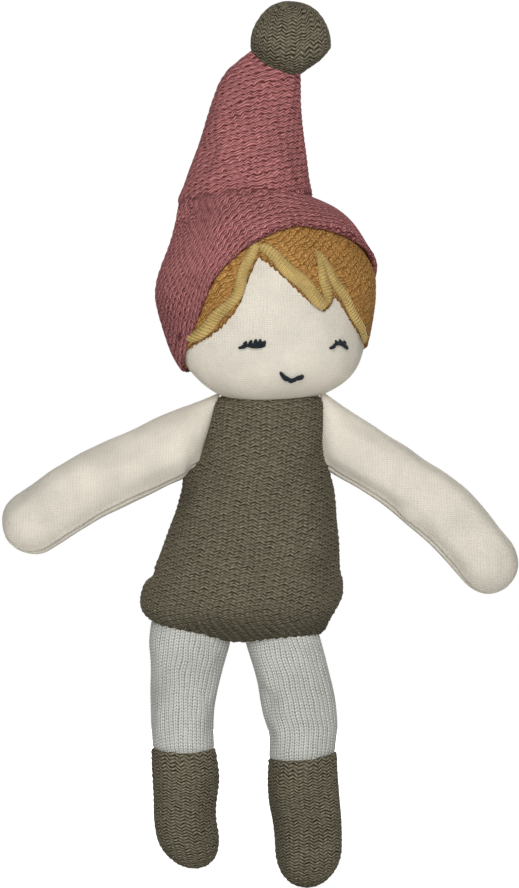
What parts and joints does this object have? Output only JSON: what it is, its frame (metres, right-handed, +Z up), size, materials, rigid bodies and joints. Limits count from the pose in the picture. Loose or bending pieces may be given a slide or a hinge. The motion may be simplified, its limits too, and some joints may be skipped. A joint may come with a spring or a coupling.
{
  "type": "plush elf doll",
  "caption": "Stuffed cloth elf doll with a knitted tunic, tights and boots, a hooded pointed hat with a pom-pom, and limbs that swing on their seams.",
  "frame": {"origin": "bottom centre of the doll's bounding box, under the lower boot", "axes": "+Z up from the boots to the pom-pom, -Y the way the tunic's front faces, +X to the viewer's right"},
  "size_m": [0.1448, 0.0566, 0.2493],
  "materials": {
    "olive_knit": "matt knit, olive",
    "rose_knit": "matt knit, dusty rose",
    "cream_jersey": "fine cotton jersey, cream",
    "grey_jersey": "fine ribbed jersey, pale grey",
    "hair_knit": "bumpy knit, ochre",
    "gold_thread": "satin stitch, gold",
    "dark_thread": "embroidery thread, near black",
    "sewing_thread": "sewing thread, rust brown",
    "wadding": "polyester wadding, off-white"
  },
  "bodies": {
    "torso": {"body_fill": "wadding", "tunic_front": "olive_knit", "tunic_back": "olive_knit"},
    "neck": {"neck_stitch": "sewing_thread"},
    "head": {"head_fill": "wadding", "face_panel": "cream_jersey", "head_back": "hair_knit", "hat_hood": "rose_knit", "hair": "hair_knit", "fringe_satin": "gold_thread", "eye_left": "dark_thread", "eye_right": "dark_thread", "mouth": "dark_thread"},
    "hat_tip": {"hat_cone": "rose_knit", "hat_cone_fill": "wadding"},
    "pom": {"pom_pom": "olive_knit", "pom_pom_fill": "wadding"},
    "left_arm": {"left_arm": "cream_jersey", "left_arm_fill": "wadding"},
    "right_arm": {"right_arm": "cream_jersey", "right_arm_fill": "wadding"},
    "left_leg": {"left_tights": "grey_jersey", "left_boot": "olive_knit", "left_leg_fill": "wadding"},
    "right_leg": {"right_tights": "grey_jersey", "right_boot": "olive_knit", "right_leg_fill": "wadding"}
  },
  "joints": [
    {"name": "neck_nod", "type": "hinge", "parent": "torso", "child": "neck", "pos_m": [0.00293, -0.00015, 0.13581], "axis": [1, 0, 0], "range_deg": [-12, 12], "stiffness_Nm_per_rad": 0.05},
    {"name": "neck_turn", "type": "hinge", "parent": "neck", "child": "head", "pos_m": [0.00293, -0.00015, 0.13581], "axis": [0, 0, 1], "range_deg": [-40, 20], "stiffness_Nm_per_rad": 0.02},
    {"name": "hat_flop", "type": "hinge", "parent": "head", "child": "hat_tip", "pos_m": [-0.00357, -0.00015, 0.19161], "axis": [1, 0, 0], "range_deg": [-18, 6], "stiffness_Nm_per_rad": 0.02},
    {"name": "pom_sway", "type": "hinge", "parent": "hat_tip", "child": "pom", "pos_m": [0.00567, -0.00015, 0.23203], "axis": [0, 1, 0], "range_deg": [-15, 15], "stiffness_Nm_per_rad": 0.01},
    {"name": "left_shoulder", "type": "hinge", "parent": "torso", "child": "left_arm", "pos_m": [-0.01779, -0.00015, 0.12761], "axis": [0.2725, 0, 0.9621], "range_deg": [-60, 60], "stiffness_Nm_per_rad": 0.005},
    {"name": "right_shoulder", "type": "hinge", "parent": "torso", "child": "right_arm", "pos_m": [0.02114, -0.00015, 0.12703], "axis": [0.0124, 0, -0.9999], "range_deg": [-60, 60], "stiffness_Nm_per_rad": 0.005},
    {"name": "left_hip", "type": "hinge", "parent": "torso", "child": "left_leg", "pos_m": [-0.01917, -0.00015, 0.06721], "axis": [-1, 0, 0], "range_deg": [-45, 75]},
    {"name": "right_hip", "type": "hinge", "parent": "torso", "child": "right_leg", "pos_m": [0.00683, -0.00015, 0.06721], "axis": [-1, 0, 0], "range_deg": [-45, 75]}
  ]
}
